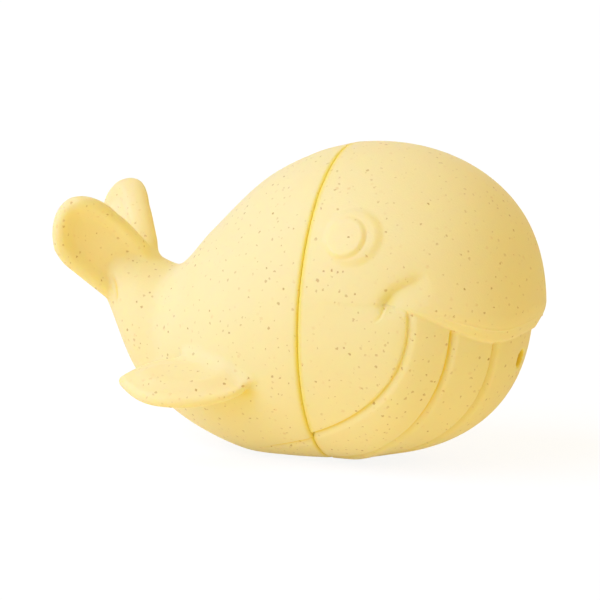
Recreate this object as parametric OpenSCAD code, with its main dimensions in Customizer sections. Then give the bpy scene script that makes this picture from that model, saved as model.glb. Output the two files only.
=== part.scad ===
// Squeaky whale bath toy. Two soft shells push together on a round collar, so that the toy opens
// for cleaning, and a small reed squeaker sits in a pocket behind the mouth hole.
// The nose points along +X and the back along +Z. The toy stands on the flat of its belly at z = 0,
// and the origin is the middle of that flat.

/* [Body] */
// Half width of both shells at the seam
seam_ry = 33.7; // [32:0.1:36]
// Half height of both shells at the seam
seam_rz = 37.2; // [36:0.1:40]
// Length of the tail shell from the seam to the end of its stem
tail_len = 63.5; // [61:0.5:67]
// Length of the tail shell's end that is solid
tail_solid = 22; // [18:0.5:26]
// How far the seam lies ahead of the middle of the belly flat
seam_ahead = 12; // [8:0.5:16]
// How far the belly sags below the seam's lowest point
belly_sag = 0.6; // [0.4:0.1:1.2]
// Depth of the flat that the toy stands on
flat_cut = 0.6; // [0.3:0.1:0.8]
// Thickness of the shells
wall = 3; // [2:0.1:3.6]
// Gap between the rims of the two shells
seam_gap = 0.4; // [0.2:0.05:0.8]

/* [Head] */
// Reach of the upper lip ahead of the seam
snout = 46.6; // [44:0.1:50]
// How far the upper lip stands out past the jaw
lip_out = 3; // [2:0.1:4]
// Bluntness of the head, where 2 is an ellipse
head_blunt = 2.4; // [2.1:0.05:2.8]
// How far the crown swells above that form
crown_lift = 1.4; // [0.5:0.1:2.5]
// Height angle of the lip at the nose
lip_angle = -6.2; // [-9:0.1:-3]
// How far the lip climbs at the corners of the mouth, as an angle
smile = 15; // [8:0.5:20]

/* [Eyes] */
// Radius of an eye
eye_r = 4.9; // [4:0.1:6]
// How far an eye stands out
eye_rise = 0.9; // [0.5:0.1:1.5]
// Plan angle of an eye from the nose
eye_plan_angle = 71; // [64:0.5:74]
// Height angle of an eye
eye_height_angle = 32; // [28:0.5:36]

/* [Fins] */
// Length of a fin
fin_len = 30; // [26:0.5:33]
// Width of a fin
fin_wid = 19; // [16:0.5:22]
// Thickness of a fin
fin_thick = 6; // [4:0.1:7]
// Distance of a fin's middle behind the seam
fin_back = 28; // [26:0.5:30]
// Depth of a fin's middle below the collar's axis
fin_low = 18; // [15:0.5:20]
// How far a fin's middle stands out from the flank
fin_out = 7.6; // [6:0.1:8.2]

/* [Flukes] */
// Length of a fluke from root to tip
fluke_len = 25; // [22:0.5:27]
// Width of a fluke ahead of its middle line
fluke_front = 7.7; // [6:0.1:9]
// Width of a fluke behind its middle line
fluke_rear = 10.9; // [9:0.1:12]
// Thickness of a fluke
fluke_thick = 5.8; // [5:0.1:7]
// How deep the outer face of a fluke is cupped
fluke_cup = 1.3; // [0.6:0.1:1.6]
// Distance of a fluke's middle ahead of the stem's end
fluke_ahead = 3.3; // [2:0.1:5]
// Distance of a fluke's middle from the middle plane
fluke_side = 8.5; // [7.5:0.1:9.5]
// Height of a fluke's middle above the stem's end
fluke_rise = 8.8; // [7:0.1:10]

/* [Collar] */
// Width of the shells' rims outside the collar
rim_w = 4.1; // [3.6:0.1:5.5]
// Thickness of the collar between its ribs
collar_wall = 2; // [1.6:0.1:3]
// How far the collar stands out of the tail shell
collar_len = 9; // [7:0.5:10]
// Depth of the solid rim that the collar grows from
collar_root = 7; // [5:0.5:9]
// Height of a sealing rib
rib_h = 0.4; // [0.2:0.05:0.6]
// Width of a sealing rib
rib_w = 1.4; // [1:0.1:2]
// Number of sealing ribs
rib_count = 2; // [1:1:3]
// Radial clearance between the ribs and the socket
rib_gap = 0.05; // [0.02:0.01:0.1]
// Room past the end of the collar in the socket
socket_room = 0.6; // [0.4:0.1:1.5]

/* [Squeaker] */
// Radius of the mouth hole
mouth_r = 2; // [1.5:0.1:2.4]
// Height angle of the mouth hole
mouth_angle = -13; // [-16:0.5:-11]
// Downward tilt of the mouth hole and the squeaker
mouth_tilt = 10; // [4:1:14]
// Depth of the pocket's floor behind the jaw's surface
pocket_floor = 4.4; // [3.8:0.1:6]
// Outer radius of the squeaker case
case_r = 6.4; // [6:0.1:7]
// Thickness of the case
case_wall = 1.1; // [0.8:0.05:1.4]
// Length of the case ahead of its flange
case_len = 11.5; // [11:0.1:13]
// How far the flange stands out past the case
flange_out = 1.6; // [1:0.1:2.2]
// Thickness of the flange and of the end cap
flange_t = 1.2; // [0.8:0.1:1.6]
// Thickness of the pocket's wall
pocket_wall = 2.2; // [1.6:0.1:2.6]
// Thickness of the pocket's floor behind the jaw's own wall
floor_t = 1.1; // [0.6:0.1:1.2]
// Gap round a pressed piece and at its seat
press_gap = 0.05; // [0.02:0.01:0.1]
// Length of the reed block
block_len = 7.4; // [7:0.1:8]
// Length of the block's shoulder that grips the reed
grip_len = 2; // [1.6:0.1:2.4]
// Wall left behind the reed in the shoulder
reed_stop = 0.4; // [0.3:0.05:0.6]
// Height of the reed's seat above the squeaker's axis
reed_level = 0.5; // [0.2:0.1:0.8]
// Length of the reed that stands out of the shoulder
reed_free = 4.8; // [4:0.1:5]
// Width of the reed
reed_w = 3; // [2.8:0.1:3.4]
// Thickness of the reed
reed_t = 0.3; // [0.2:0.05:0.4]
// Gap under the reed, in which it swings
reed_gap = 0.16; // [0.14:0.01:0.2]
// Radius of the air channel under the reed
channel_r = 1.1; // [0.8:0.05:1.2]
// Radius of an air hole in the end cap
air_hole_r = 0.7; // [0.5:0.05:0.9]
// Number of air holes round the middle of the end cap
air_holes = 6; // [4:1:7]

/* [Hidden] */
$fn = 96;

shell_colour = [0.97, 0.87, 0.56];
plastic_colour = [0.93, 0.93, 0.90];
reed_colour = [0.80, 0.66, 0.36];

// Heights are worked out from the collar's axis, which lies this far above the belly flat
axis_h = seam_rz + belly_sag - flat_cut;

// The tail shell's outline: distance behind the seam as a share of its length, then the heights of
// its back and its belly above the collar's axis as shares of the seam's half height
sag = belly_sag / seam_rz;
outline_shares = [
    [0, 1, -1],
    [0.14, 0.92, -1 - sag],
    [0.315, 0.745, -1 - 0.7 * sag],
    [0.505, 0.42, -0.92],
    [0.66, 0.14, -0.78],
    [0.79, 0.18, -0.585],
    [0.915, 0.235, -0.205],
    [1, 0.11, 0.01]
];
tail_rings = 21;
ring_sides = 48;

// The head's grid: columns from flank to flank, rows up the jaw and up the crown
head_cols = 44;
jaw_rows = 10;
crown_rows = 12;
// The lip's section: height angle above its edge and share of the overhang that is left there
lip_rows = [[-1.6, 1], [0.2, 0.35], [3, 0]];
// Plan angles over which the lip runs level, turns up and fades into the flanks
lip_level_angle = 15;
lip_turn_angle = 45;
lip_fade_angles = [28, 62];
// Height angle over which the overhang shrinks below the lip, and the share of it that goes
lip_fall_angle = 90;
lip_fall_share = 0.7;
// Share of the way ahead of the seam over which the overhang sets in
lip_start_share = 0.4;
// Height angle over which the crown's swell sets in
crown_angle = 30;

// Directions in which a fin and a fluke point, and the way their upper or outer faces look
fin_along = [-0.985, 0.16, -0.05];
fin_up = [0, 0.42, 0.9];
fluke_along = [-0.34, 0.35, 0.84];
fluke_face = [0.56, 0.75, -0.28];
pad_sides = 28;
pad_rings = 10;

// Cavity and socket
collar_r = seam_ry - rim_w;
socket_r = collar_r + rib_gap;
socket_len = collar_len + socket_room;
bore_r = collar_r - rib_h - collar_wall;
tail_cavity_end = tail_len - tail_solid;
cavity_cols = 28;
cavity_rows = 14;
past = 1;

// Squeaker, measured along the mouth hole from the jaw's surface inwards
pocket_r = case_r + press_gap;
boss_r = pocket_r + pocket_wall;
boss_end = pocket_floor + case_len;
boss_start = pocket_floor - floor_t;
case_front = pocket_floor + press_gap;
case_back = case_front + case_len + flange_t;
case_bore = case_r - case_wall;
block_front = case_front + case_wall + press_gap;
block_r = case_bore - press_gap;
reed_slot = reed_t + 2 * reed_gap;
reed_held = grip_len - reed_stop;
channel_start = channel_r / 2;
hinge_at = block_front + block_len - grip_len;
// The ring of air holes lies midway between the middle hole and the rim
air_ring = (block_r + air_hole_r) / 2;

function smooth(t) = let (u = min(max(t, 0), 1)) u * u * (3 - 2 * u);
function unit(v) = v / norm(v);

// Smooth curve through column c of the outline at share x of the tail's length
function slope(c, i) =
    let (
        a = outline_shares[max(i - 1, 0)],
        b = outline_shares[min(i + 1, len(outline_shares) - 1)]
    )
    (b[c] - a[c]) / (b[0] - a[0]);
function piece(x, i = 0) =
    i >= len(outline_shares) - 2 || x < outline_shares[i + 1][0] ? i : piece(x, i + 1);
function curve(c, x) =
    let (
        i = piece(x),
        p = outline_shares[i],
        q = outline_shares[i + 1],
        h = q[0] - p[0],
        t = (x - p[0]) / h
    )
    p[c] * (1 + 2 * t) * (1 - t) * (1 - t) + q[c] * t * t * (3 - 2 * t)
    + h * t * (1 - t) * (slope(c, i) * (1 - t) - slope(c, i + 1) * t);

// Middle height, half height and half width of the tail shell, drawn in by a wall
function back(x) = seam_rz * curve(1, x / tail_len);
function belly(x) = seam_rz * curve(2, x / tail_len);
function tail_mid(x) = (back(x) + belly(x)) / 2;
function tail_half(x, inset) = (back(x) - belly(x)) / 2 - inset;
function tail_side(x, inset) = tail_half(x, 0) * seam_ry / seam_rz - inset;
function flank(x, z) = tail_side(x, 0) * sqrt(1 - pow((z - tail_mid(x)) / tail_half(x, 0), 2));

// Radius of the head in the direction of a plan angle and a height angle, before the lip
function bluff(plan, high) =
    let (
        ahead = cos(high) * cos(plan),
        across = norm([cos(high) * sin(plan) / seam_ry, sin(high) / seam_rz]),
        // A hump of height 1 halfway between the seam and the nose
        hump = 4 * ahead * (1 - ahead),
        swell = crown_lift * hump * smooth(high / crown_angle)
    )
    pow(pow(ahead / snout, head_blunt) + pow(across, head_blunt), -1 / head_blunt) + swell;
function lip_edge(plan) = lip_angle + smile * smooth((abs(plan) - lip_level_angle) / lip_turn_angle);
function overhang(plan, high) =
    lip_out * (1 - smooth((abs(plan) - lip_fade_angles[0]) / (lip_fade_angles[1] - lip_fade_angles[0])))
    * (1 - lip_fall_share * smooth(abs(lip_edge(plan) - high) / lip_fall_angle))
    * smooth(cos(high) * cos(plan) / lip_start_share);
function aim(plan, high) = [cos(high) * cos(plan), cos(high) * sin(plan), sin(high)];
function jaw_point(plan, high, inset = 0) =
    (bluff(plan, high) - overhang(plan, high) - inset) * aim(plan, high);
// Direction square to the head's surface
function outward(plan, high) =
    let (
        across = bluff(plan + 1, high) * aim(plan + 1, high) - bluff(plan - 1, high) * aim(plan - 1, high),
        up = bluff(plan, high + 1) * aim(plan, high + 1) - bluff(plan, high - 1) * aim(plan, high - 1)
    )
    unit(cross(across, up));

// Points of a column of the head, from the chin to the crown
function head_column(plan) =
    let (edge = lip_edge(plan), low = edge + lip_rows[0][0], high = edge + lip_rows[2][0])
    concat(
        [for (i = [1:jaw_rows - 1]) jaw_point(plan, -90 + (low + 90) * i / jaw_rows)],
        [for (r = lip_rows)
            (bluff(plan, edge + r[0]) - r[1] * overhang(plan, edge)) * aim(plan, edge + r[0])],
        [for (i = [1:crown_rows - 1])
            let (e = high + (90 - high) * i / crown_rows) bluff(plan, e) * aim(plan, e)]
    );

// Closed skin over columns of points that run from one end point to the other, with a flat side
// between the first and the last column
module half_skin(columns, first, last) {
    n = len(columns[0]);
    m = len(columns);
    points = concat([first, last], [for (c = columns) each c]);
    function at(j, i) = 2 + j * n + i;
    sides = [for (j = [0:m - 2]) each concat(
        [[0, at(j, 0), at(j + 1, 0)], [1, at(j + 1, n - 1), at(j, n - 1)]],
        [for (i = [0:n - 2]) each [
            [at(j, i), at(j, i + 1), at(j + 1, i)],
            [at(j + 1, i), at(j, i + 1), at(j + 1, i + 1)]
        ]]
    )];
    back = concat([0], [for (i = [0:n - 1]) at(m - 1, i)], [1], [for (i = [n - 1:-1:0]) at(0, i)]);
    polyhedron(points, concat(sides, [back]));
}

// Closed skin over rings of points, with a point at its far end and a flat or a point at its start
module ring_skin(rings, first, last) {
    n = len(rings[0]);
    m = len(rings);
    points = concat([first, last], [for (r = rings) each r]);
    function at(i, k) = 2 + i * n + k % n;
    faces = concat(
        [for (k = [0:n - 1]) each [[0, at(0, k + 1), at(0, k)], [1, at(m - 1, k), at(m - 1, k + 1)]]],
        [for (i = [0:m - 2], k = [0:n - 1]) each [
            [at(i, k), at(i, k + 1), at(i + 1, k)],
            [at(i + 1, k), at(i, k + 1), at(i + 1, k + 1)]
        ]]
    );
    polyhedron(points, faces);
}

// Leaf-shaped pad with a rounded rim, lying along X with its upper face towards Z, and with its own
// width on each side of X
module pad(length, left, right, thick, cup) {
    function ring(f) = [for (k = [0:pad_sides - 1])
        let (a = -360 * k / pad_sides)
        [cos(f) * cos(a) * length / 2, cos(f) * sin(a) * (sin(a) > 0 ? left : right),
            sin(f) * thick / 2 + cup * cos(f) * cos(f)]];
    rings = [for (i = [1:pad_rings - 1]) ring(-90 + 180 * i / pad_rings)];
    ring_skin(rings, [0, 0, -thick / 2], [0, 0, thick / 2]);
}

// Turns a pad so that it points along one direction with its upper face looking another way
module face_to(along, up) {
    x = unit(along);
    z = unit(up - (up * x) * x);
    y = cross(z, x);
    multmatrix([
        [x[0], y[0], z[0], 0],
        [x[1], y[1], z[1], 0],
        [x[2], y[2], z[2], 0],
        [0, 0, 0, 1]
    ])
    children();
}

// Puts the seam's middle in its place above the belly flat
module in_place() {
    translate([seam_ahead, 0, axis_h]) children();
}

module along_x() {
    rotate([0, 90, 0]) children();
}

// Moves to the jaw's surface at the mouth hole, with Z pointing out of the mouth and -X up
module at_mouth() {
    translate(jaw_point(0, mouth_angle)) rotate([0, 90 + mouth_tilt, 0]) children();
}

// The tail shell's form, drawn in by a wall, between two distances behind the seam
module tail_form(from, to, inset) {
    function ring(x) = [for (k = [0:ring_sides - 1])
        let (a = 360 * k / ring_sides)
        [-x, tail_side(x, inset) * cos(a), tail_mid(x) + tail_half(x, inset) * sin(a)]];
    rings = [for (i = [0:tail_rings - 1]) ring(from + (to - from) * i / tail_rings)];
    ring_skin(rings, [-from, 0, tail_mid(from)], [-to, 0, tail_mid(to)]);
}

module head_form() {
    half_skin(
        [for (j = [0:head_cols]) head_column(-90 + 180 * j / head_cols)],
        [0, 0, -seam_rz], [0, 0, seam_rz]
    );
}

// The hollow of the head ahead of its socket
module head_cavity() {
    size = 2 * seam_rz;
    columns = [for (j = [0:cavity_cols])
        [for (i = [1:cavity_rows - 1])
            jaw_point(-90 + 180 * j / cavity_cols, -90 + 180 * i / cavity_rows, wall)]];
    intersection() {
        half_skin(columns, [0, 0, wall - seam_rz], [0, 0, seam_rz - wall]);
        translate([socket_len, -size / 2, -size / 2]) cube(size);
    }
}

// A shallow dome on the flank of the head
module eye(side) {
    dome_r = (eye_r * eye_r + eye_rise * eye_rise) / (2 * eye_rise);
    mirror([0, side < 0 ? 1 : 0, 0])
        translate(bluff(eye_plan_angle, eye_height_angle) * aim(eye_plan_angle, eye_height_angle))
        face_to([1, 0, 0], outward(eye_plan_angle, eye_height_angle))
        intersection() {
            translate([0, 0, eye_rise - dome_r]) sphere(r = dome_r);
            translate([0, 0, -wall / 2]) cylinder(r = eye_r, h = wall);
        }
}

// Round collar with sealing ribs and a lead-in at its end
module collar() {
    r = collar_r - rib_h;
    pitch = collar_len / (rib_count + 1);
    along_x() {
        difference() {
            union() {
                translate([0, 0, -collar_root]) cylinder(r = r, h = collar_root + collar_len - rib_h);
                translate([0, 0, collar_len - rib_h]) cylinder(r1 = r, r2 = r - rib_h, h = rib_h);
                for (i = [1:rib_count])
                    translate([0, 0, i * pitch - rib_w / 2]) cylinder(r = collar_r, h = rib_w);
            }
            translate([0, 0, -collar_root - past])
                cylinder(r = bore_r, h = collar_root + collar_len + 2 * past);
        }
    }
}

module fin(side) {
    middle = [-fin_back, flank(fin_back, -fin_low) + fin_out, -fin_low];
    mirror([0, side < 0 ? 1 : 0, 0])
        translate(middle) face_to(fin_along, fin_up) pad(fin_len, fin_wid / 2, fin_wid / 2, fin_thick, 0);
}

module fluke(side) {
    mirror([0, side < 0 ? 1 : 0, 0])
        translate([fluke_ahead - tail_len, fluke_side, tail_mid(tail_len) + fluke_rise])
        face_to(fluke_along, fluke_face)
        pad(fluke_len, fluke_front, fluke_rear, fluke_thick, fluke_cup);
}

// Rear half of the whale, moulded in one with its fins, flukes and collar
module tail_shell() {
    size = 2 * (tail_len + fluke_len);
    color(shell_colour) in_place() {
        difference() {
            union() {
                translate([-seam_gap / 2, 0, 0]) tail_form(0, tail_len, 0);
                for (side = [-1, 1]) {
                    fin(side);
                    fluke(side);
                }
            }
            tail_form(collar_root, tail_cavity_end, wall);
            along_x() translate([0, 0, -collar_root - past])
                cylinder(r = bore_r, h = collar_root + 2 * past);
            translate([-size / 2, -size / 2, -axis_h - size]) cube(size);
        }
        collar();
    }
}

// Front half of the whale, with its face, its socket and the pocket for the squeaker
module head_shell() {
    size = 2 * (snout + seam_rz);
    color(shell_colour) in_place() {
        difference() {
            union() {
                difference() {
                    union() {
                        translate([seam_gap / 2, 0, 0]) head_form();
                        for (side = [-1, 1]) eye(side);
                    }
                    head_cavity();
                    along_x() translate([0, 0, -past]) cylinder(r = socket_r, h = socket_len + 2 * past);
                }
                at_mouth() translate([0, 0, -boss_end]) cylinder(r = boss_r, h = boss_end - boss_start);
            }
            at_mouth() {
                translate([0, 0, -boss_end]) cylinder(r = mouth_r, h = boss_end + lip_out + past);
                translate([0, 0, -boss_end - past]) cylinder(r = pocket_r, h = case_len + past);
            }
            translate([-size / 2, -size / 2, -axis_h - size]) cube(size);
        }
    }
}

// Plastic sleeve of the squeaker, pressed into the pocket up to its flange
module squeaker_case() {
    color(plastic_colour) in_place() at_mouth() {
        difference() {
            union() {
                translate([0, 0, -case_back]) cylinder(r = case_r, h = case_back - case_front);
                translate([0, 0, -case_back]) cylinder(r = case_r + flange_out, h = flange_t);
            }
            translate([0, 0, -case_back - past])
                cylinder(r = case_bore, h = case_back - case_front - case_wall + past);
            translate([0, 0, -case_back]) cylinder(r = mouth_r, h = case_back);
        }
    }
}

// Plug in the case that holds the reed over its air channel
module squeaker_reed_block() {
    grip_front = -hinge_at;
    color(plastic_colour) in_place() at_mouth() {
        difference() {
            translate([0, 0, -block_front - block_len]) cylinder(r = block_r, h = block_len);
            translate([-reed_level - 2 * block_r, -block_r, grip_front])
                cube([2 * block_r, 2 * block_r, block_len]);
            translate([-reed_level - reed_slot, -reed_w / 2 - reed_gap, grip_front - reed_held - reed_gap])
                cube([reed_slot, reed_w + 2 * reed_gap, reed_held + 2 * reed_gap]);
            translate([-reed_level, 0, grip_front + channel_start])
                cylinder(r = channel_r, h = block_len);
        }
    }
}

// Thin springy tongue that beats against the air channel
module squeaker_reed() {
    color(reed_colour) in_place() at_mouth()
        translate([-reed_level - reed_gap - reed_t, -reed_w / 2, -hinge_at - reed_held])
        cube([reed_t, reed_w, reed_held + reed_free]);
}

// Perforated disc that closes the back of the case
module squeaker_end_cap() {
    color(plastic_colour) in_place() at_mouth()
        translate([0, 0, -case_back])
        difference() {
            cylinder(r = block_r, h = flange_t);
            for (i = [0:air_holes])
                rotate([0, 0, i * 360 / air_holes])
                translate([i == 0 ? 0 : air_ring, 0, -past])
                cylinder(r = air_hole_r, h = flange_t + 2 * past);
        }
}

tail_shell();
head_shell();
squeaker_case();
squeaker_reed_block();
squeaker_reed();
squeaker_end_cap();
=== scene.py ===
import math

import bmesh
import bpy
import numpy as np
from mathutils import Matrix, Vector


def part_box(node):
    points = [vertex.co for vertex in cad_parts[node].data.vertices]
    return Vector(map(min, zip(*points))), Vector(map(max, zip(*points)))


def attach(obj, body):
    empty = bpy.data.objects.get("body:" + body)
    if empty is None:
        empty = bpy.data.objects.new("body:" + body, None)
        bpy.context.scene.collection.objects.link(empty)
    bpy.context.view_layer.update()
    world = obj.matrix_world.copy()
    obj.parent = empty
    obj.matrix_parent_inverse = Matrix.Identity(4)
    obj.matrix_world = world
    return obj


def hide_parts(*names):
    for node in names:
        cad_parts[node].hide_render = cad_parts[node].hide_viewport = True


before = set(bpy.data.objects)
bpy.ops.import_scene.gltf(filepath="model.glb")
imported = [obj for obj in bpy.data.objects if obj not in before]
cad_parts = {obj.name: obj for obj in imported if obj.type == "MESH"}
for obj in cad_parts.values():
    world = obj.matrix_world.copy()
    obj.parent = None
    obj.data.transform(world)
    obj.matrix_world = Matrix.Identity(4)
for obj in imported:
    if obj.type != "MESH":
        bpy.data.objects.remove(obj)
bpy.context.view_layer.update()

import openvdb
from mathutils import Matrix, Vector

# Tail shell
# The rear half of the whale, cast in one piece of soft speckled silicone with its fins, its flukes and
# the round collar that the head pushes onto. Lengths of both shells are in millimetres, measured from
# the middle of the seam, with the nose along +X.
mm = 0.001

# A number too small to matter, a distance beyond any carving, and how far a cut runs past what it opens
tiny = 1e-6
far_off = 99.0
past = 1

seam_ry = 33.7
seam_rz = 37.2
seam_gap = 0.4
seam_slit = 0.02
seam = Vector((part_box("head_shell")[0].x - mm * seam_gap / 2, 0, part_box("tail_shell")[1].z - mm * seam_rz))
floor_level = -seam.z / mm

tail_len = 63.5
tail_solid = 22
tail_rim_edge = 1.0
wall = 3
belly_sag = 0.6
belly_edge = 1
hollow_edge = 2
hollow_rim_edge = 0.6

collar_r = 29.6
collar_len = 9
collar_root = 7
collar_bore = 27.2
collar_bore_edge = 0.1
collar_end_edge = 0.5
collar_fillet = 0.3
bore_fillet = 0.5
rib_h = 0.4
rib_w = 1.4
rib_slope = 0.42
rib_square = 4
rib_places = (3, 6)

# A fin's thickness swells between two distances in from its rim, and the fillet at its root grows
# between two heights over its middle face
fin_len = 30.6
fin_wid = 17.6
fin_thick = 5.8
fin_rim = 1.7
fin_rim_thins = 0.4
fin_swell = (0.5, 9.5)
fin_point = 0.9
fin_fillets = (0.4, 4)
fin_fillet_heights = (-1, 2)
fin_middle = (-28.3, 31.1, -17.6)
fin_along = (-0.985, 0.16, -0.05)
fin_up = (0, 0.42, 0.9)

# A fluke is thinner by the dish inside its rim, between two distances in from it
fluke_tip = 12.8
fluke_tip_blunt = 1.9
fluke_widest = -1
fluke_root = -12
fluke_half_wide = 9.5
fluke_taper = 0.16
fluke_front = 8.6
fluke_shift = 0.6
fluke_sweep = 0.23
fluke_sweep_end = 3.3
fluke_thick = 5.8
fluke_dish = 0.35
fluke_dish_rim = (2, 8)
fluke_rear_swell = 0.2
fluke_cup = 3.6
fluke_front_cup = 0.3
fluke_twist = 2.3
fluke_bend_end = 1.2
fluke_fork_fillet = 1.5
fluke_root_fillet = 1.3
fluke_roll = math.radians(2)
fluke_middle = (-60.2, 8.5, 11.4)
fluke_along = (-0.34, 0.35, 0.84)
fluke_face = (0.56, 0.75, -0.28)

# Fine lines on one flank, each by a few points, with painted shade, a deeper yellow, in them
belly_line = [(1, 20.5, -29.5), (-8.5, 17, -32.5), (-19.5, 11.5, -35)]
belly_line_depth = 0.8
belly_line_shade = 0.9
belly_line_whole = 0.1
crease = [(-56.5, 8, 2.5), (-54.5, 10, -0.6), (-53.7, 10.8, -4.5)]
crease_wide = 0.45
crease_depth = 0.5
crease_shade = 0.5
crease_ends = 0.3

groove_steep = 0.42
groove_gentle = 1.9
groove_hollow = 1.3
# Widths of the painted shade, a deeper yellow, in the seam and under the root of each fin, and its strength
# there
seam_fold = 0.75
fin_fold = 4
fin_fold_under = 2
fin_fold_shade = 0.6

# Distance behind the seam as a share of the tail's length, and the heights of its back and its belly as
# shares of the seam's half height
sag = belly_sag / seam_rz
stations = np.array([
    (0, 1, -1),
    (0.14, 0.92, -1 - sag),
    (0.315, 0.745, -1 - 0.7 * sag),
    (0.505, 0.42, -0.92),
    (0.66, 0.14, -0.787),
    (0.79, 0.18, -0.595),
    (0.915, 0.235, -0.215),
    (1, 0.11, 0.01),
])


def smooth(share):
    """Eased step from 0 to 1."""
    share = np.clip(share, 0, 1)
    return share * share * (3 - 2 * share)


def ramp(value, start, end):
    """Eased step from 0 at the start to 1 at the end."""
    return smooth((value - start) / (end - start))


def mound(away, width):
    """Soft mound, 1 in its middle, that dies away over a width."""
    return np.exp(-(away / width) ** 2)


def joined(a, b, fillet):
    """Two forms in one, with a fillet of that radius where they meet."""
    corner = np.hypot(np.maximum(fillet - a, 0), np.maximum(fillet - b, 0))
    return np.maximum(fillet, np.minimum(a, b)) - corner


def shared(a, b, edge):
    """What two forms have in common, with a rounded edge of that radius."""
    return -joined(-a, -b, edge)


def without(a, b, edge):
    """The first form less the second, with a rounded edge of that radius."""
    return -joined(-a, b, edge)


def through(at, values, slope, where):
    """Smooth curve through values at places along it, with a slope at each of them."""
    i = np.clip(np.searchsorted(at, where, "right") - 1, 0, len(at) - 2)
    span = at[i + 1] - at[i]
    t = np.clip((where - at[i]) / span, 0, 1)
    ends = values[i] * (1 + 2 * t) * (1 - t) ** 2 + values[i + 1] * t * t * (3 - 2 * t)
    return ends + span * t * (1 - t) * (slope[i] * (1 - t) - slope[i + 1] * t)


def station_height(column, behind):
    """Height of the tail's back or belly at distances behind the seam."""
    at = stations[:, 0]
    height = stations[:, column]
    slope = np.empty(len(at))
    slope[1:-1] = (height[2:] - height[:-2]) / (at[2:] - at[:-2])
    slope[0] = (height[1] - height[0]) / (at[1] - at[0])
    slope[-1] = (height[-1] - height[-2]) / (at[-1] - at[-2])
    return seam_rz * through(at, height, slope, behind / tail_len)


def tail_body(x, y, z):
    """Distance from the tail's body without fins and flukes, which has oval sections."""
    step = 0.2
    behind = np.clip(-x, 0, tail_len)

    def middle_and_half(distance):
        top = station_height(1, distance)
        low = station_height(2, distance)
        return (top + low) / 2, (top - low) / 2

    middle, half = middle_and_half(behind)
    middle_on, half_on = middle_and_half(np.minimum(behind + step, tail_len))
    side = half * seam_ry / seam_rz
    rise = (z - middle) / half
    across = np.hypot(y / side, rise) + tiny
    lean = ((middle_on - middle) * rise / across + half_on - half) / step
    body = (across - 1) * np.sqrt(side * half) / np.sqrt(1 + lean ** 2)
    return np.maximum(body, -x - tail_len)


def leaf_frame(x, y, z, middle, along, face):
    """Places of points along a leaf, across it and square to its face."""
    along = np.array(along) / np.linalg.norm(along)
    face = np.array(face) - np.dot(face, along) * along
    face /= np.linalg.norm(face)
    away = (x - middle[0], y - middle[1], z - middle[2])
    return [sum(a * b for a, b in zip(away, axis)) for axis in (along, np.cross(face, along), face)]


def fluke(x, y, z):
    """Distance from one fluke. Its rim is a thick roll, and the lobe is cupped on its outer face and twisted
    along its front edge."""
    u, v, w = leaf_frame(x, y, z, fluke_middle, fluke_along, fluke_face)
    tip_len = fluke_tip - fluke_widest
    beyond = np.maximum(u - fluke_widest, 0) / tip_len
    short = np.maximum(fluke_root - u, 0) / (2 * fluke_thick)
    half_wide = fluke_half_wide - fluke_taper * np.maximum(fluke_widest - u, 0)
    v = v + fluke_shift + fluke_sweep * np.minimum(u, fluke_sweep_end)
    half_wide = np.where(v > 0, np.minimum(half_wide, fluke_front), half_wide)
    over = np.abs(v) / half_wide
    reach = beyond ** fluke_tip_blunt + short ** 2 + over ** 2
    steep_tip = fluke_tip_blunt * beyond ** (fluke_tip_blunt - 1) / tip_len
    steep = np.hypot(steep_tip, 2 * over / half_wide)
    to_rim = (reach - 1) / np.maximum(steep, 1 / fluke_tip)
    swell = np.where(v > 0, 1, 1 + fluke_rear_swell * smooth(over))
    half = fluke_thick / 2 * (1 - fluke_dish * ramp(-to_rim, *fluke_dish_rim)) * swell
    edge = np.minimum(over, fluke_bend_end)
    cup = np.where(v > 0, fluke_front_cup, 1) * edge ** 2
    bowl = fluke_cup * (np.minimum(beyond, fluke_bend_end) ** 2 + cup)
    twist = fluke_twist * edge * np.clip(u / fluke_tip, -fluke_bend_end, fluke_bend_end)
    height = w - bowl - np.where(v > 0, twist, 0)
    return np.hypot(np.maximum(to_rim + half, 0), height) - half


def rolled(y, z):
    """Places across the tail, turned with the flukes, which lean a little to the far side."""
    cos, sin = math.cos(fluke_roll), math.sin(fluke_roll)
    return y * cos + z * sin, z * cos - y * sin


def fin_frame(x, y, z):
    """Places along the fin of either flank, across it and square to its upper face."""
    return leaf_frame(x, np.abs(y), z, fin_middle, fin_along, fin_up)


def fin(x, y, z):
    """Distance from a fin: a leaf with a round rim that comes to a point at its rear end."""
    u, v, w = fin_frame(x, y, z)
    half_len, half_wide = fin_len / 2, fin_wid / 2
    bend = 2 - fin_point * smooth(u / half_len)
    out, over = np.abs(u) / half_len, np.abs(v) / half_wide
    steep = np.hypot(2 * out / half_len, bend * over / half_wide)
    to_rim = (out ** 2 + over ** bend - 1) / np.maximum(steep, 1 / half_len)
    rim = fin_rim * (1 - fin_rim_thins * smooth(-u / half_len))
    half = rim + (fin_thick / 2 - rim) * ramp(-to_rim, *fin_swell)
    return np.hypot(np.maximum(to_rim + half, 0), w) - half


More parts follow.
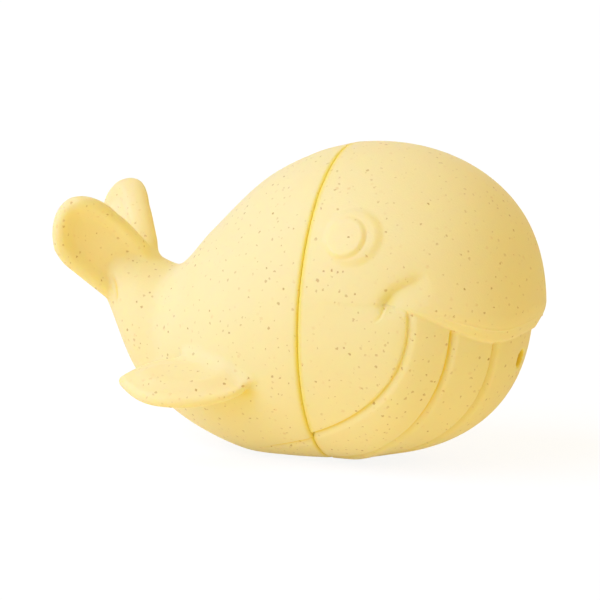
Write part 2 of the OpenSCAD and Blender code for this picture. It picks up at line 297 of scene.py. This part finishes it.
def tail_form(x, y, z):
    """Distance from the whole tail shell."""
    body = tail_body(x, y, z)
    over, up = rolled(y, z)
    flukes = joined(fluke(x, over, up), fluke(x, -over, up), fluke_fork_fillet)
    over_fin = ramp(fin_frame(x, y, z)[2], *fin_fillet_heights)
    fin_fillet = fin_fillets[0] + (fin_fillets[1] - fin_fillets[0]) * over_fin
    outside = joined(joined(body, flukes, fluke_root_fillet), fin(x, y, z), fin_fillet)
    outside = shared(outside, floor_level - z, belly_edge)
    outside = shared(outside, x + seam_slit / 2, tail_rim_edge)
    from_axis = np.hypot(y, z)
    hollow_ends = np.maximum(-x - (tail_len - tail_solid), x + collar_root)
    hollow = shared(body + wall, hollow_ends, hollow_edge)
    bore_ends = np.maximum(-x - collar_root - past, x - collar_len - past)
    bore = np.maximum(from_axis - collar_bore, bore_ends)
    shell = without(outside, joined(hollow, bore, bore_fillet), hollow_rim_edge)
    ribs = sum(np.exp(-((x - at) / (rib_slope * rib_w)) ** rib_square) for at in rib_places)
    tube = from_axis - (collar_r - rib_h) - rib_h * ribs
    tube = shared(tube, collar_bore - from_axis, collar_bore_edge)
    tube = shared(tube, np.maximum(x - collar_len, -collar_root - x), collar_end_edge)
    return joined(shell, tube, collar_fillet)


def onto(field, points, rounds=4, probe=0.02, longest=0.3, least_steep=0.1):
    """Moves points onto the surface where a field is 0, and gives the surface's directions there too."""
    for _ in range(rounds):
        slope = np.stack([
            (field(*(points + d).T) - field(*(points - d).T)) / (2 * probe) for d in probe * np.eye(3)
        ], axis=1)
        steep = np.maximum((slope ** 2).sum(1), least_steep)
        move = -(field(*points.T) / steep)[:, None] * slope
        length = np.linalg.norm(move, axis=1, keepdims=True)
        points = points + move * np.minimum(1, longest / np.maximum(length, tiny))
    return points, slope / np.sqrt(steep)[:, None]


def route(points, count=160):
    """Places and directions along a smooth curve through points, evenly spread over its length."""
    points = np.array(points, float)
    gaps = np.linalg.norm(np.diff(points, axis=0), axis=1)
    at = np.concatenate([[0], np.cumsum(gaps)])
    slope = np.gradient(points, at, axis=0)
    where = np.linspace(0, at[-1], count)
    line = np.stack([through(at, points[:, k], slope[:, k], where) for k in range(3)], axis=1)
    way = np.gradient(line, axis=0)
    return line, way / np.linalg.norm(way, axis=1)[:, None]


def beside(places, points, reach=5, batch=20000):
    """How far places lie from a curve, on which side of it, from 0 on its right to 1 on its left, and how
    far along it they are, from 0 to 1."""
    line, way = route(points)
    away = np.full(len(places), far_off)
    side = np.zeros(len(places))
    along = np.zeros(len(places))
    inside = np.all((places > line.min(0) - reach) & (places < line.max(0) + reach), axis=1)
    near = places[inside]
    if not len(near):
        return away, side, along
    batches = np.array_split(near, len(near) // batch + 1)
    nearest = np.concatenate([((part[:, None] - line) ** 2).sum(2).argmin(1) for part in batches])
    offset = near - line[nearest]
    beyond = (nearest == 0) | (nearest == len(line) - 1)
    forward = (offset * way[nearest]).sum(1)
    flat = offset - forward[:, None] * way[nearest]
    distance = np.where(beyond, np.linalg.norm(offset, axis=1), np.linalg.norm(flat, axis=1))
    out = near / np.linalg.norm(near, axis=1)[:, None]
    away[inside] = distance
    side[inside] = (np.cross(way[nearest], flat) * out).sum(1) / np.maximum(distance, tiny)
    along[inside] = nearest / (len(line) - 1)
    return away, ramp(side, -1, 1), along


class Relief:
    """What is carved at places on a skin: how far it rises there, how much painted shade, a deeper yellow
    in a fold of the silicone, it gets, from 0 to 1, and how near the closest carving is. Both flanks get the
    same."""

    def __init__(self, places):
        self.places = places * (1, 0, 1) + np.abs(places) * (0, 1, 0)
        self.rise = np.zeros(len(places))
        self.fold_shade = np.zeros(len(places))
        self.near = np.full(len(places), far_off)

    def add(self, rise, near, fold_shade=0):
        self.rise = self.rise + rise
        self.fold_shade = np.maximum(self.fold_shade, fold_shade)
        self.near = np.minimum(self.near, near)

    def groove(self, points, depth, shades, fade):
        """Cuts a groove along a curve: steep on its left side, gentle on its right. The pair given for its
        ends is how much painted shade, a deeper yellow, it has there, and the fade gives its strength at
        shares of its length."""
        away, left, along = beside(self.places, points)
        steep = mound(away, groove_steep)
        gentle = np.clip(1 - away / groove_gentle, 0, 1) ** groove_hollow
        strength = fade(along)
        # Painted shade, a deeper yellow, lies along the groove's steep wall
        shade = strength * steep * (shades[0] + (shades[1] - shades[0]) * along)
        self.add(-depth * strength * (gentle + (steep - gentle) * left), away - groove_steep, shade)


def skin(name, field, low, high, carve, pitch=0.5, fine_near=(1.2, 0.5)):
    """Mesh over the surface of a form, finer near its carving, which is then cut into it. Its fold values
    carry painted shade, a deeper yellow, for how deep in a groove or in the seam each place lies, from 0 to 1."""
    low = np.array(low, float)
    axes = [np.arange(a, b, pitch, dtype=np.float32) for a, b in zip(low, high)]
    x, y, z = np.meshgrid(*axes, indexing="ij", sparse=True)
    volume = openvdb.FloatGrid(pitch)
    volume.copyFromArray(np.ascontiguousarray(field(x, y, z), dtype=np.float32))
    points, _, quads = volume.convertToPolygons(isovalue=0, adaptivity=0)
    mesh = bpy.data.meshes.new(name)
    mesh.from_pydata((points * pitch + low).tolist(), [], quads[:, ::-1].tolist())
    built = bmesh.new()
    built.from_mesh(mesh)
    for distance in fine_near:
        near = carve(np.array([v.co for v in built.verts])).near < distance
        built.verts.index_update()
        edges = [e for e in built.edges if near[e.verts[0].index] and near[e.verts[1].index]]
        bmesh.ops.subdivide_edges(built, edges=edges, cuts=1, use_grid_fill=True)
    places, facing = onto(field, np.array([v.co for v in built.verts]))
    relief = carve(places)
    x, y, z = places.T
    under = (1 - np.hypot(y / seam_ry, z / seam_rz)) * seam_ry
    # Painted shade, a deeper yellow, along the seam where the two halves meet
    in_seam = mound(x, seam_fold) * (1 - ramp(under, seam_fold, 2 * seam_fold))
    fold_shade = np.maximum(in_seam, relief.fold_shade)
    places = places + relief.rise[:, None] * facing
    for vert, place in zip(built.verts, mm * places + np.array(seam)):
        vert.co = place
    built.to_mesh(mesh)
    built.free()
    mesh.attributes.new("fold_shade", "FLOAT", "POINT").data.foreach_set("value", fold_shade.astype(np.float32))
    mesh.shade_smooth()
    piece = bpy.data.objects.new(name, mesh)
    bpy.context.scene.collection.objects.link(piece)
    return piece


class Wire:
    """A socket of a material's nodes. Sums and products of wires add the Math nodes that work them out."""

    def __init__(self, socket):
        self.socket = socket

    def node(self, kind, settings=None, sockets=None, output=0):
        """Adds a node of any kind: its settings are set first, then its sockets take values or wires."""
        made = self.socket.id_data.nodes.new("ShaderNode" + kind)
        for name, value in (settings or {}).items():
            setattr(made, name, value)
        for name, value in (sockets or {}).items():
            plug(made.inputs[name], value)
        return Wire(made.outputs[output])

    def also(self, output):
        """Another output of the same node."""
        return Wire(self.socket.node.outputs[output])

    def math(self, operation, first, second):
        return self.node("Math", {"operation": operation}, {0: first, 1: second})

    def __add__(self, other):
        return self.math("ADD", self, other)

    def __sub__(self, other):
        return self.math("SUBTRACT", self, other)

    def __rsub__(self, other):
        return self.math("SUBTRACT", other, self)

    def __mul__(self, other):
        return self.math("MULTIPLY", self, other)

    __radd__ = __add__
    __rmul__ = __mul__

    def held(self):
        """The same value, kept between 0 and 1."""
        return self.node("Clamp", {}, {"Value": self, "Min": 0, "Max": 1})


def plug(socket, value):
    """Links a wire to a socket, or sets the socket's own value."""
    if isinstance(value, Wire):
        socket.id_data.links.new(value.socket, socket)
    else:
        socket.default_value = value


def mix_colours(share, first, second):
    """The first colour where the share is 0, the second where it is 1. The numbers are the Mix node's
    sockets for colours."""
    return share.node("Mix", {"data_type": "RGBA"}, {0: share, 6: first, 7: second}, 2)


def finish_of(name):
    """A new material, with its shader and a wire of the places on the piece."""
    material = bpy.data.materials.new(name)
    material.use_nodes = True
    shader = material.node_tree.nodes["Principled BSDF"]
    return material, shader, Wire(shader.outputs[0]).node("TexCoord", output="Object")


def texture_finish(shader, texture, smoothest, spread, strength, depth):
    """Lets a fine texture vary the roughness of a finish and raise its surface a little."""
    plug(shader.inputs["Roughness"], smoothest + texture * spread)
    bump = texture.node("Bump", {}, {"Strength": strength, "Distance": depth, "Height": texture})
    plug(shader.inputs["Normal"], bump)


def grains(place, spacing, radius, softness, smallest=0.5, faintest=0.3):
    """Mask of grains that lie about one spacing apart, most of them faint and a few of them strong."""
    cells = place.node("TexVoronoi", {"feature": "F1"}, {"Vector": place, "Scale": 1 / spacing}, "Distance")
    chance = cells.node("SeparateColor", {}, {"Color": cells.also("Color")}, "Red")
    size = (smallest + chance * (1 - smallest)) * (radius / spacing)
    strength = chance.also("Green")
    return ((size - cells) * (spacing / softness)).held() * (faintest + (1 - faintest) * strength * strength)


# Painted shade: light that goes to and fro between the walls of a fold comes out a deeper yellow, and that
# yellow is painted into the colour in the grooves, the seam, the mouth hole and under the fins
base_yellow = (0.96, 0.85, 0.36, 1)
cloud_yellow = (0.975, 0.875, 0.40, 1)
fold_shade_yellow = (1.0, 0.77, 0.05, 1)
pale_grain = (0.74, 0.47, 0.12, 1)
dark_grain = (0.47, 0.27, 0.01, 1)
fold_shade_strength = 0.85
pale_strength = 0.35
dark_strength = 0.75
silicone, shader, place = finish_of("speckled_silicone")
stirred = place.node("TexNoise", {}, {"Vector": place, "Scale": 1600, "Detail": 2}, "Color")
shift = place.node("VectorMath", {"operation": "SUBTRACT"}, {0: stirred, 1: (0.5, 0.5, 0.5)})
shift = place.node("VectorMath", {"operation": "SCALE"}, {0: shift, "Scale": 0.0009})
ragged = place.node("VectorMath", {"operation": "ADD"}, {0: place, 1: shift})
dark = grains(ragged, spacing=0.0018, radius=0.00044, softness=0.00018)
pale = grains(ragged, spacing=0.0027, radius=0.00062, softness=0.00040)
cloud = place.node("TexNoise", {}, {"Vector": place, "Scale": 55, "Detail": 3})
fold_shade = place.node("Attribute", {"attribute_name": "fold_shade"}, {}, "Fac")
tone = mix_colours(cloud, base_yellow, cloud_yellow)
tone = mix_colours(pale * pale_strength, tone, pale_grain)
tone = mix_colours(dark * dark_strength, tone, dark_grain)
# Painted shade: a deeper yellow wherever the fold values of the mesh lie
tone = mix_colours(fold_shade * fold_shade_strength, tone, fold_shade_yellow)
plug(shader.inputs["Base Color"], tone)
fine = place.node("TexNoise", {}, {"Vector": place, "Scale": 2600, "Detail": 2})
texture_finish(shader, fine, smoothest=0.56, spread=0.14, strength=0.12, depth=0.0002)
shader.inputs["IOR"].default_value = 1.41
shader.inputs["Sheen Weight"].default_value = 0.12
shader.inputs["Subsurface Weight"].default_value = 0.6
shader.inputs["Subsurface Radius"].default_value = (1.0, 0.7, 0.2)
shader.inputs["Subsurface Scale"].default_value = 0.003


def tail_carving(places):
    """The first belly groove running out on the tail, a crease at the root of each fluke, and the painted
    shade, a deeper yellow, under the root of each fin."""
    relief = Relief(places)
    # The belly groove's painted shade, a deeper yellow, is the same at both ends
    shades = (belly_line_shade, belly_line_shade)
    relief.groove(belly_line, belly_line_depth, shades, lambda along: 1 - ramp(along, belly_line_whole, 1))
    away, _, along = beside(relief.places, crease)
    line = mound(away, crease_wide) * smooth(along / crease_ends) * smooth((1 - along) / crease_ends)
    # The crease gets painted shade, a deeper yellow, along with its depth
    relief.add(-crease_depth * line, away, crease_shade * line)
    # Painted shade, a deeper yellow, under the root of each fin where it meets the body
    x, y, z = relief.places.T
    by_body = 1 - smooth(np.abs(tail_body(x, y, z)) / fin_fold)
    by_fin = 1 - smooth(np.abs(fin(x, y, z)) / fin_fold)
    under_fin = smooth(-fin_frame(x, y, z)[2] / fin_fold_under)
    relief.add(0, far_off, fin_fold_shade * by_body * by_fin * under_fin)
    return relief


tail_low = (-76, -43, floor_level - 1)
tail_high = (collar_len + 2, 43, 39.5)
tail = skin("tail_skin", tail_form, tail_low, tail_high, tail_carving)
tail.data.materials.append(silicone)
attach(tail, "tail")
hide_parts("tail_shell")

# Head shell
# The front half of the whale, cast in the same silicone, with the face, the belly grooves and the mouth
# hole. Its socket slips over the collar of the tail shell, and a pocket inside it holds the squeaker.
snout = 46.6
head_blunt = 2.4
head_rim_edge = 0.35
head_inside = 0.88
crown_lift = 1.4
crown_angle = 30
socket_r = 29.65
socket_len = 9.6
socket_edge = 0.5
socket_fillet = 0.3
cavity_edge = 1

# The lip overhangs the jaw ahead and fades towards the flanks, where it turns up to the mouth's corners
lip_out = 3
lip_start = 0.4
lip_angle = -6.2
lip_bow = 1.6
lip_bow_angle = 24
smile = 13
lip_level_angle = 15
lip_turn_angle = 47
lip_fade_angles = (28, 55)
lip_fall_share = 0.7
lip_fall_angle = 90
lip_band = 5.4
lip_side_band = 2
lip_side_angle = 35
lip_step = 0.2
lip_side_step = 0.6
lip_round = 0.7
lip_edge_round = 0.6
lip_fillet = 0.35
lip_least_round = 0.01

lip_line_share = 0.64
lip_line_wide = 0.22
lip_line_rise = 0.15
lip_line_from = 20
lip_line_angles = (30, 55)

# The mouth hole starts on the jaw's surface, and what lies behind it is measured along its axis
mouth_r = 2
mouth_tilt = math.radians(10)
mouth_place = (42.756, 0, -9.871)
mouth_edge = 0.45
mouth_out = 9
# Painted shade, a deeper yellow, fills the mouth hole out past its rim, ahead of a distance from the seam
mouth_shade_rim = 0.25
mouth_shade_from = 30
boss_r = 8.65
boss_edge = 0.5
boss_fillet = 1
pocket_r = 6.45
pocket_floor = 4.4
pocket_floor_t = 1.1
pocket_end = 15.9
pocket_edge = 0.2

# An eye is a low dome in a wider lid, and the dome is lower to the rear. Its edge, its ring and the
# middle of its fine mesh lie at shares of its radius.
eye_r = 5.2
eye_rise = 0.6
eye_edge = (0.74, 1.03)
eye_rear_rise = 0.3
eye_deep = 8
eye_place = np.array((9.1, 29.5, 19.0))
eye_facing = np.array((0.066, 0.877, 0.474))
eye_fall = np.array((0.8, 0, -0.6))
eye_fine = 0.9
eye_fine_reach = 0.5
ring_share = 0.96
ring_wide = 0.5
ring_depth = 0.06
# Painted shade, a deeper yellow, lies in the ring round the dome
ring_shade = 0.15
lid_r = 7.3
lid_rise = 0.55
lid_edge = (-2.2, 0.2)
lid_place = np.array((10.8, 29.2, 19.3))
lid_slope_in = 1
lid_slope_wide = 0.9
# Painted shade, a deeper yellow, lies on the lid's outer slope
lid_shade = 0.12

# The three belly grooves of a flank, seen from the middle of the seam: their angles out to the side
# where they start at the lip and where they reach the seam, and the powers that bow them. Then their
# depths, how much painted shade, a deeper yellow, they have at both ends, the shares of the quarter turn
# from ahead to below that they run between, and the heights over the lip's edge at which they are whole and
# gone.
groove_at_lip = (49.8, 34.8, 19)
groove_at_seam = (37.2, 14, 6.2)
groove_bow = (3.4, 2, 1.25)
groove_depth = (0.8, 1.2, 1.9)
groove_shades = ((0.2, 0.9), (1, 0.9), (1, 1))
groove_turn = (-0.1, 1.02)
groove_fade = (-0.9, 0.7)

# Curves of the mouth's corner in side view, each by a few points. Starts and ends are shares of a
# curve's length.
dimple = [(17, 0.5), (19, 2), (20, 4.5), (22, 7.7), (24, 9), (28.5, 11.5)]
dimple_depth = 1.7
dimple_steep = 1.5
dimple_gentle = 6
dimple_hollow = 1.6
dimple_start = (0.12, 0.42)
dimple_end = (0.8, 1.05)
dimple_thins = 0.5
dimple_fine = 1.2
pit_wide = 1.1
# The pit and the line the dimple tails off in get painted shade, a deeper yellow, strongest at the pit's core
pit_shade = 0.2
pit_core_shade = 0.25
pit_core = 0.4
pit_core_long = 0.13
dimple_line_wide = 0.4
dimple_line_depth = 0.2
dimple_line_start = 0.15
dimple_line_end = (0.2, 0.4)
smile_line = [(19.5, 2), (20.5, 4), (23, 5.5)]
smile_line_wide = 0.35
smile_line_rise = 0.09
smile_line_ends = 0.3


def head_angles(x, y, z):
    """Plan angle of places from the nose, and their angle above the seam's middle."""
    return np.degrees(np.arctan2(np.abs(y), x)), np.degrees(np.arctan2(z, np.hypot(x, y)))


def lip_edge(plan):
    """Height angle of the lip's lower edge at plan angles from the nose."""
    bow = lip_bow * (1 - smooth(plan / lip_bow_angle))
    return lip_angle + bow + smile * smooth((plan - lip_level_angle) / lip_turn_angle)


def lip_lines(x, y, z):
    """Height above the lip's lower edge, the height of the lip's band there, and how far round to the side
    it is, from 0 to 1."""
    plan, high = head_angles(x, y, z)
    sideways = smooth((plan - lip_level_angle) / lip_side_angle)
    above = np.radians(high - lip_edge(plan)) * np.sqrt(x * x + y * y + z * z)
    return above, lip_band + (lip_side_band - lip_band) * sideways, sideways


def head_surface(x, y, z):
    """Distances from the jaw and from the whole outside of the head."""
    plan, high = head_angles(x, y, z)
    reach = np.sqrt(x * x + y * y + z * z) + tiny
    ahead = np.maximum(x, 0) / snout
    across = np.hypot(y / seam_ry, z / seam_rz) + tiny
    size = (ahead ** head_blunt + across ** head_blunt) ** (1 / head_blunt)
    steep_ahead = (ahead / size) ** (head_blunt - 1) / snout
    steep_section = np.hypot(y / seam_ry ** 2, z / seam_rz ** 2) / across
    steep_across = (across / size) ** (head_blunt - 1) * steep_section
    plain = (size - 1) / np.hypot(steep_ahead, steep_across)
    forward = np.clip(x / reach, 0, 1)
    crown = plain - crown_lift * 4 * forward * (1 - forward) * smooth(high / crown_angle)
    fade = (1 - ramp(plan, *lip_fade_angles)) * smooth(forward / lip_start)
    fall = 1 - lip_fall_share * smooth(np.abs(lip_edge(plan) - high) / lip_fall_angle)
    overhang = lip_out * fade * fall
    jaw = plain + overhang
    above_lip, band, sideways = lip_lines(x, y, z)
    step = lip_step + (lip_side_step - lip_step) * sideways
    bevel = crown + (1 - step) * overhang * (1 - above_lip / band)
    ease = lip_least_round + np.clip(overhang / lip_out, 0, 1)
    lip = shared(shared(crown, bevel, lip_round * ease), -above_lip, lip_edge_round)
    return jaw, joined(jaw, lip, lip_fillet * ease)


def mouth_frame(x, y, z):
    """How far places lie out of the mouth hole from the jaw's surface, and how far from its axis."""
    ahead, high = x - mouth_place[0], z - mouth_place[2]
    out = ahead * math.cos(mouth_tilt) - high * math.sin(mouth_tilt)
    up = ahead * math.sin(mouth_tilt) + high * math.cos(mouth_tilt)
    return out, np.hypot(up, y)


def head_form(x, y, z):
    """Distance from the whole head shell."""
    jaw, outside = head_surface(x, y, z)
    outside = shared(outside, floor_level - z, belly_edge)
    outside = shared(outside, seam_slit / 2 - x, head_rim_edge)
    hollow = shared(jaw + wall, socket_len - x, cavity_edge)
    socket = np.maximum(np.hypot(y, z) - socket_r, np.maximum(x - socket_len, -past - x))
    shell = without(outside, joined(hollow, socket, socket_fillet), socket_edge)
    out, from_mouth = mouth_frame(x, y, z)
    boss_ends = np.maximum(out + pocket_floor - pocket_floor_t, -pocket_end - out)
    shell = joined(shell, shared(from_mouth - boss_r, boss_ends, boss_edge), boss_fillet)
    pocket_ends = np.maximum(out + pocket_floor, -pocket_end - 2 * past - out)
    pocket = np.maximum(from_mouth - pocket_r, pocket_ends)
    hole = np.maximum(from_mouth - mouth_r, np.maximum(out - mouth_out, -pocket_end - out))
    return without(without(shell, pocket, pocket_edge), hole, mouth_edge)


def groove_course(at_lip, at_seam, bow, count=24, halvings=30):
    """Points of a belly groove on the jaw, round from the lip to the seam."""
    turn = np.linspace(*groove_turn, count)
    side = np.radians(at_lip + (at_seam - at_lip) * np.maximum(turn, 0) ** bow)
    down = turn * math.pi / 2
    way = np.stack([np.cos(side) * np.cos(down), np.sin(side), -np.cos(side) * np.sin(down)])
    near, far = np.zeros(count), np.full(count, 1.5 * snout)
    for _ in range(halvings):
        reach = (near + far) / 2
        inside = head_surface(*(reach * way))[0] < 0
        near, far = np.where(inside, reach, near), np.where(inside, far, reach)
    return (near * way).T


def on_flank(points):
    """Places on the head's flank at points of the side view."""
    x, z = np.array(points, float).T
    across = (1 - (x / snout) ** head_blunt) ** (1 / head_blunt)
    return np.stack([x, seam_ry * np.sqrt(across ** 2 - (z / seam_rz) ** 2), z], axis=1)


def carve_belly_grooves(relief):
    """The three belly grooves, which fade out under the lip."""
    below_lip = 1 - ramp(lip_lines(*relief.places.T)[0], *groove_fade)
    courses = map(groove_course, groove_at_lip, groove_at_seam, groove_bow)
    for course, depth, shades in zip(courses, groove_depth, groove_shades):
        relief.groove(course, depth, shades, lambda along: below_lip)


def carve_lip_line(relief):
    """The fine raised line along the lip's band."""
    x, y, z = relief.places.T
    plan, _ = head_angles(x, y, z)
    above, band, _ = lip_lines(x, y, z)
    away = np.abs(above - lip_line_share * band)
    ahead = x > lip_line_from
    line = mound(away, lip_line_wide) * (1 - ramp(plan, *lip_line_angles)) * ahead
    relief.add(lip_line_rise * line, np.where(ahead & (plan < lip_line_angles[1]), away, far_off))


def carve_mouth_corner(relief):
    """The dimple with its pit, the line in which it tails off, and the raised line of the smile."""
    away, left, along = beside(relief.places, on_flank(dimple))
    steep = mound(away, dimple_steep)
    gentle = np.clip(1 - away / dimple_gentle, 0, 1) ** dimple_hollow
    ends = ramp(along, *dimple_start) * (1 - ramp(along, *dimple_end))
    depth = dimple_depth * (1 - dimple_thins * along) * ends
    line_ends = smooth(along / dimple_line_start) * (1 - ramp(along, *dimple_line_end))
    line = dimple_line_depth * mound(away, dimple_line_wide) * line_ends
    # Painted shade, a deeper yellow, in the pit and along the line it tails off in
    core = pit_core_shade * mound(along - pit_core, pit_core_long)
    pit = depth * mound(away, pit_wide) * (pit_shade + core)
    relief.add(-depth * (steep + (gentle - steep) * left) - line, away - dimple_fine, pit + line)

    away, _, along = beside(relief.places, on_flank(smile_line))
    ends = smooth(along / smile_line_ends) * smooth((1 - along) / smile_line_ends)
    relief.add(smile_line_rise * mound(away, smile_line_wide) * ends, away)


def carve_eye(relief):
    """The eye's dome and lid, with a fine ring round the front of the dome."""

    def from_centre(centre):
        offset = relief.places - centre
        return np.linalg.norm(offset - (offset @ eye_facing)[:, None] * eye_facing, axis=1)

    from_eye = from_centre(eye_place)
    from_lid = from_centre(lid_place) - lid_r
    on_face = np.abs((relief.places - eye_place) @ eye_facing) < eye_deep
    ahead = smooth(0.5 + (relief.places - eye_place) @ eye_fall / (2 * eye_r))
    lid = lid_rise * (1 - ramp(from_lid, *lid_edge))
    dome = 1 - ramp(from_eye / eye_r, *eye_edge)
    dome = eye_rise * dome * (eye_rear_rise + (1 - eye_rear_rise) * ahead)
    ring = mound(from_eye - ring_share * eye_r, ring_wide) * ahead
    slope = mound(from_lid + lid_slope_in, lid_slope_wide) * ahead
    near_rim = np.where(on_face, np.abs(from_eye - eye_fine * eye_r) - eye_fine_reach, far_off)
    rise = lid + dome - ring_depth * ring
    # The ring and the lid's slope get painted shade, a deeper yellow
    relief.add(on_face * rise, near_rim, on_face * (ring_shade * ring + lid_shade * slope))


def head_carving(places):
    """The belly grooves, the lip's line and the face on the outside, and the painted shade, a deeper yellow,
    in the mouth hole."""
    relief = Relief(places)
    carve_belly_grooves(relief)
    carve_lip_line(relief)
    carve_mouth_corner(relief)
    carve_eye(relief)
    inner = np.linalg.norm(relief.places / (snout, seam_ry, seam_rz), axis=1) < head_inside
    relief.rise[inner] = 0
    relief.near[inner] = far_off
    x, y, z = relief.places.T
    # Painted shade, a deeper yellow, in the mouth hole
    in_mouth = mouth_frame(x, y, z)[1] < mouth_r + mouth_shade_rim
    relief.add(0, far_off, (x > mouth_shade_from) * in_mouth)
    return relief


head_low = (-1, -36, floor_level - 1)
head_high = (snout + 2, 36, 40)
head = skin("head_skin", head_form, head_low, head_high, head_carving)
head.data.materials.append(silicone)
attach(head, "head")
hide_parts("head_shell")

# Squeaker case
# A cup of white plastic with a flange, pushed from inside into the pocket of the head shell. The hole in
# its floor meets the mouth hole.
plastic_white = (0.90, 0.90, 0.865, 1)
plastic_grey = (0.80, 0.80, 0.755, 1)
plastic, shader, place = finish_of("squeaker_plastic")
cloud = place.node("TexNoise", {}, {"Vector": place, "Scale": 420, "Detail": 4})
plug(shader.inputs["Base Color"], mix_colours(cloud, plastic_grey, plastic_white))
fine = place.node("TexNoise", {}, {"Vector": place, "Scale": 5200, "Detail": 3})
texture_finish(shader, fine, smoothest=0.32, spread=0.2, strength=0.1, depth=0.0001)
shader.inputs["IOR"].default_value = 1.53
shader.inputs["Subsurface Weight"].default_value = 0.15
shader.inputs["Subsurface Radius"].default_value = (1, 0.9, 0.75)
shader.inputs["Subsurface Scale"].default_value = 0.0008


def dress(node, material, edge):
    """Gives a CAD node its finish, and takes the sharpness off its edges, by a width in millimetres."""
    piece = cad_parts[node]
    for holder in piece.material_slots:
        holder.material = material
    eased = piece.modifiers.new("eased_edges", "BEVEL")
    eased.width = mm * edge
    eased.segments = 2
    eased.limit_method = "ANGLE"
    eased.angle_limit = math.radians(40)
    eased.harden_normals = True


dress("squeaker_case", plastic, edge=0.15)

# Reed block
# A short plug of the same plastic, pressed into the case. Its flat has the air channel, and the slot in
# its shoulder grips the reed.
dress("squeaker_reed_block", plastic, edge=0.08)

# Reed
# A strip of thin brass, held at one end in the slot of the block. Its free end swings over the air
# channel and makes the sound.
brass_light = (0.84, 0.66, 0.33, 1)
brass_dark = (0.72, 0.53, 0.23, 1)
tarnish_brown = (0.42, 0.27, 0.10, 1)
tarnish_strength = 0.4
tarnish_from = 0.52
tarnish_sharp = 5
brass, shader, place = finish_of("reed_brass")
stretched = place.node("Mapping", {}, {"Vector": place, "Scale": (400, 9000, 9000)})
brushed = place.node("TexNoise", {}, {"Vector": stretched, "Scale": 1, "Detail": 3})
blotches = place.node("TexNoise", {}, {"Vector": place, "Scale": 900, "Detail": 4})
tarnish = ((blotches - tarnish_from) * tarnish_sharp).held() * tarnish_strength
tone = mix_colours(brushed, brass_dark, brass_light)
plug(shader.inputs["Base Color"], mix_colours(tarnish, tone, tarnish_brown))
shader.inputs["Metallic"].default_value = 1
texture_finish(shader, brushed, smoothest=0.22, spread=0.2, strength=0.15, depth=0.00005)
dress("squeaker_reed", brass, edge=0.04)

# End cap
# A plastic disc with a hole in its middle and a ring of air holes round it, pressed into the open end of
# the case behind the block.
dress("squeaker_end_cap", plastic, edge=0.1)

# Floor and light
# The whale stands on a white sweep, in the light of one large lamp on the left and of a bright room. The
# camera sees the sweep as white with the whale's shadow, and the whale gets warm light back from it.
bpy.ops.mesh.primitive_plane_add(size=20)
floor = bpy.context.object
floor.name = "floor"
white, shader, place = finish_of("white_sweep")
shader.inputs["Base Color"].default_value = (1.0, 0.90, 0.60, 1)
shader.inputs["Emission Color"].default_value = (0.87, 0.73, 0.53, 1)
shader.inputs["Emission Strength"].default_value = 0.15


def seen_straight(wire):
    """1 where a ray comes from the camera, by a mirror or through glass too, and 0 for other light."""
    path = wire.node("LightPath", output="Is Camera Ray")
    return (path + path.also("Is Glossy Ray") + path.also("Is Transmission Ray")).held()


soft = place.node("BsdfDiffuse", {}, {"Color": (0.2, 0.2, 0.2, 1)})
glow = place.node("Emission", {}, {"Color": (0.845, 0.86, 0.875, 1), "Strength": 1})
both = place.node("AddShader", {}, {0: soft, 1: glow})
bright = place.node("MixShader", {}, {0: seen_straight(place), 1: Wire(shader.outputs[0]), 2: both})
plug(white.node_tree.nodes["Material Output"].inputs["Surface"], bright)
floor.data.materials.append(white)

to_lamp = Vector((-0.51, -0.64, 0.57))
lamp = bpy.data.objects.new("key", bpy.data.lights.new("key", "SUN"))
lamp.data.energy = 0.97 * math.pi
lamp.data.color = (0.34, 0.43, 0.95)
lamp.data.angle = math.radians(60)
lamp.rotation_euler = to_lamp.to_track_quat("Z", "Y").to_euler()
bpy.context.scene.collection.objects.link(lamp)

left_side = (-0.94, -0.34, 0)
right_wall = (0.31, 0.18, 0.09, 1)
left_wall = (0.34, 0.26, 0.20, 1)
ceiling = (0.96, 0.72, 0.26, 1)
world = bpy.data.worlds.new("room")
bpy.context.scene.world = world
world.use_nodes = True
background = world.node_tree.nodes["Background"]
way = Wire(background.outputs[0]).node("TexCoord", output="Generated")
to_left = way.node("VectorMath", {"operation": "DOT_PRODUCT"}, {0: way, 1: left_side}, "Value")
walls = mix_colours((0.5 + 0.5 * to_left).held(), right_wall, left_wall)
room = mix_colours(way.node("SeparateXYZ", {}, {0: way}, "Z").held(), walls, ceiling)
plug(background.inputs["Color"], mix_colours(seen_straight(way), room, (1, 1, 1, 1)))

# Camera
# A long lens looks at the right flank from a little ahead of it and a little above, with a slight lean.
# The seam's middle lies right of the picture's middle.
azimuth = math.radians(20)
elevation = math.radians(9)
lean = math.radians(2.1)
distance = 0.9
sensor = 36
pixels_per_mm = 4.27
image_size = 600
seam_column = 347.5
toward = Vector((
    math.sin(azimuth) * math.cos(elevation),
    -math.cos(azimuth) * math.cos(elevation),
    math.sin(elevation),
))
level = Vector((math.cos(azimuth), math.sin(azimuth), 0))
upright = toward.cross(level)
right = level * math.cos(lean) + upright * math.sin(lean)
above = upright * math.cos(lean) - level * math.sin(lean)
aim = seam - right * mm * (seam_column - image_size / 2) / pixels_per_mm
turned = Matrix((right, above, toward)).transposed().to_4x4()
camera = bpy.data.objects.new("camera", bpy.data.cameras.new("camera"))
camera.data.sensor_width = sensor
camera.data.lens = sensor * pixels_per_mm * distance / mm / image_size
camera.matrix_world = Matrix.Translation(aim + toward * distance) @ turned
bpy.context.scene.collection.objects.link(camera)
bpy.context.scene.camera = camera
bpy.context.scene.view_settings.view_transform = "Standard"
